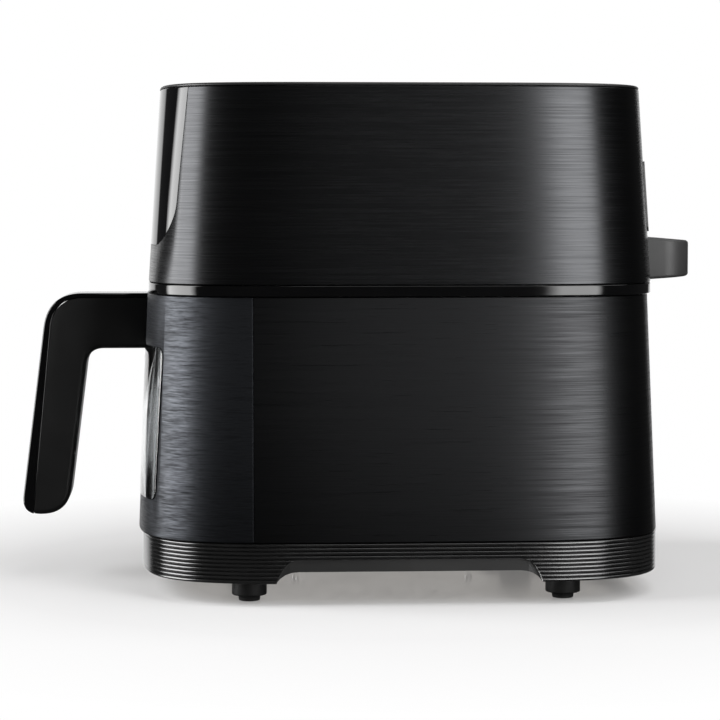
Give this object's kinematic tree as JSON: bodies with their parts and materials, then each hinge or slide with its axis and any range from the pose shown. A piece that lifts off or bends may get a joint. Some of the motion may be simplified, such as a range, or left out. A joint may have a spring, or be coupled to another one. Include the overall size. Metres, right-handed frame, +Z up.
{
  "type": "air fryer",
  "caption": "Drawer-type air fryer with a tapered brushed body, ribbed plinth, windowed pull-out drawer with a drop handle, flush touch panel, rear louvres and wall spacer.",
  "frame": {"origin": "on the floor under the middle of the whole footprint, handle and rear spacer included", "axes": "+Z up, -Y the way the drawer opens, +X to the right of someone who faces the drawer"},
  "size_m": [0.2948, 0.4194, 0.31],
  "materials": {
    "brushed_black": "black hairline brushed coating, satin sheen",
    "gloss_black": "polished black moulding",
    "satin_black": "fine-textured black moulding",
    "rubber": "matte black rubber",
    "galvanised": "dull zinc-coated sheet",
    "non_stick": "dark speckled non-stick coating",
    "clear_glass": "clear",
    "steel": "bright sheet and wire",
    "white_plastic": "heat-proof white moulding",
    "copper": "sintered bronze and copper",
    "circuit_board": "green laminate"
  },
  "bodies": {
    "housing": {"foot_front_left": "rubber", "foot_front_right": "rubber", "foot_rear_left": "rubber", "foot_rear_right": "rubber", "base_screw_front_left": "steel", "base_screw_front_right": "steel", "base_screw_rear_left": "steel", "base_screw_rear_right": "steel", "plinth_skirt": "gloss_black", "base_tray": "satin_black", "base_plate": "galvanised", "lower_shell": "brushed_black", "cord_gland": "rubber", "chamber_lining": "galvanised", "rail_left": "steel", "rail_right": "steel", "catch_spring_left": "steel", "catch_spring_right": "steel", "drawer_switch": "white_plastic", "trim_band": "gloss_black", "deck": "satin_black", "head_housing": "brushed_black", "control_panel": "gloss_black", "top_cover": "satin_black", "vent_grille": "satin_black", "rear_spacer": "satin_black", "heat_reflector": "steel", "heater_coil": "steel", "heater_guard": "steel", "motor_case": "galvanised", "motor_bush_lower": "copper", "motor_bush_upper": "copper", "motor_bridge": "galvanised", "control_board": "circuit_board", "power_board": "circuit_board", "temperature_probe": "steel", "thermal_fuse": "white_plastic", "lamp_holder": "white_plastic", "lamp_lens": "clear_glass", "exhaust_duct": "galvanised"},
    "drawer": {"drawer_front": "brushed_black", "window_pane": "clear_glass", "front_frame": "satin_black", "drawer_pan": "non_stick", "pan_glass": "clear_glass", "handle_grip": "satin_black", "handle_cover": "gloss_black", "handle_screw_lower": "steel", "handle_screw_upper": "steel"},
    "crisper": {"crisper_plate": "non_stick", "plate_grip": "steel", "plate_bumper_front_left": "rubber", "plate_bumper_front_right": "rubber", "plate_bumper_rear_left": "rubber", "plate_bumper_rear_right": "rubber"},
    "rotor": {"motor_shaft": "steel", "motor_rotor": "copper", "convection_fan": "steel", "cooling_fan": "white_plastic"},
    "plunger": {"switch_plunger": "white_plastic"}
  },
  "joints": [
    {"name": "drawer_slide", "type": "slide", "parent": "housing", "child": "drawer", "axis": [0, -1, 0], "range_m": [0, 0.26]},
    {"name": "plate_lift", "type": "slide", "parent": "drawer", "child": "crisper", "axis": [0, 0, 1], "range_m": [0, 0.09]},
    {"name": "fan_spin", "type": "hinge", "parent": "housing", "child": "rotor", "pos_m": [0, 0.02758, 0.24], "axis": [0, 0, 1], "continuous": true},
    {"name": "switch_press", "type": "slide", "parent": "housing", "child": "plunger", "axis": [0, 1, 0], "range_m": [0, 0.002], "stiffness_N_per_m": 150}
  ]
}
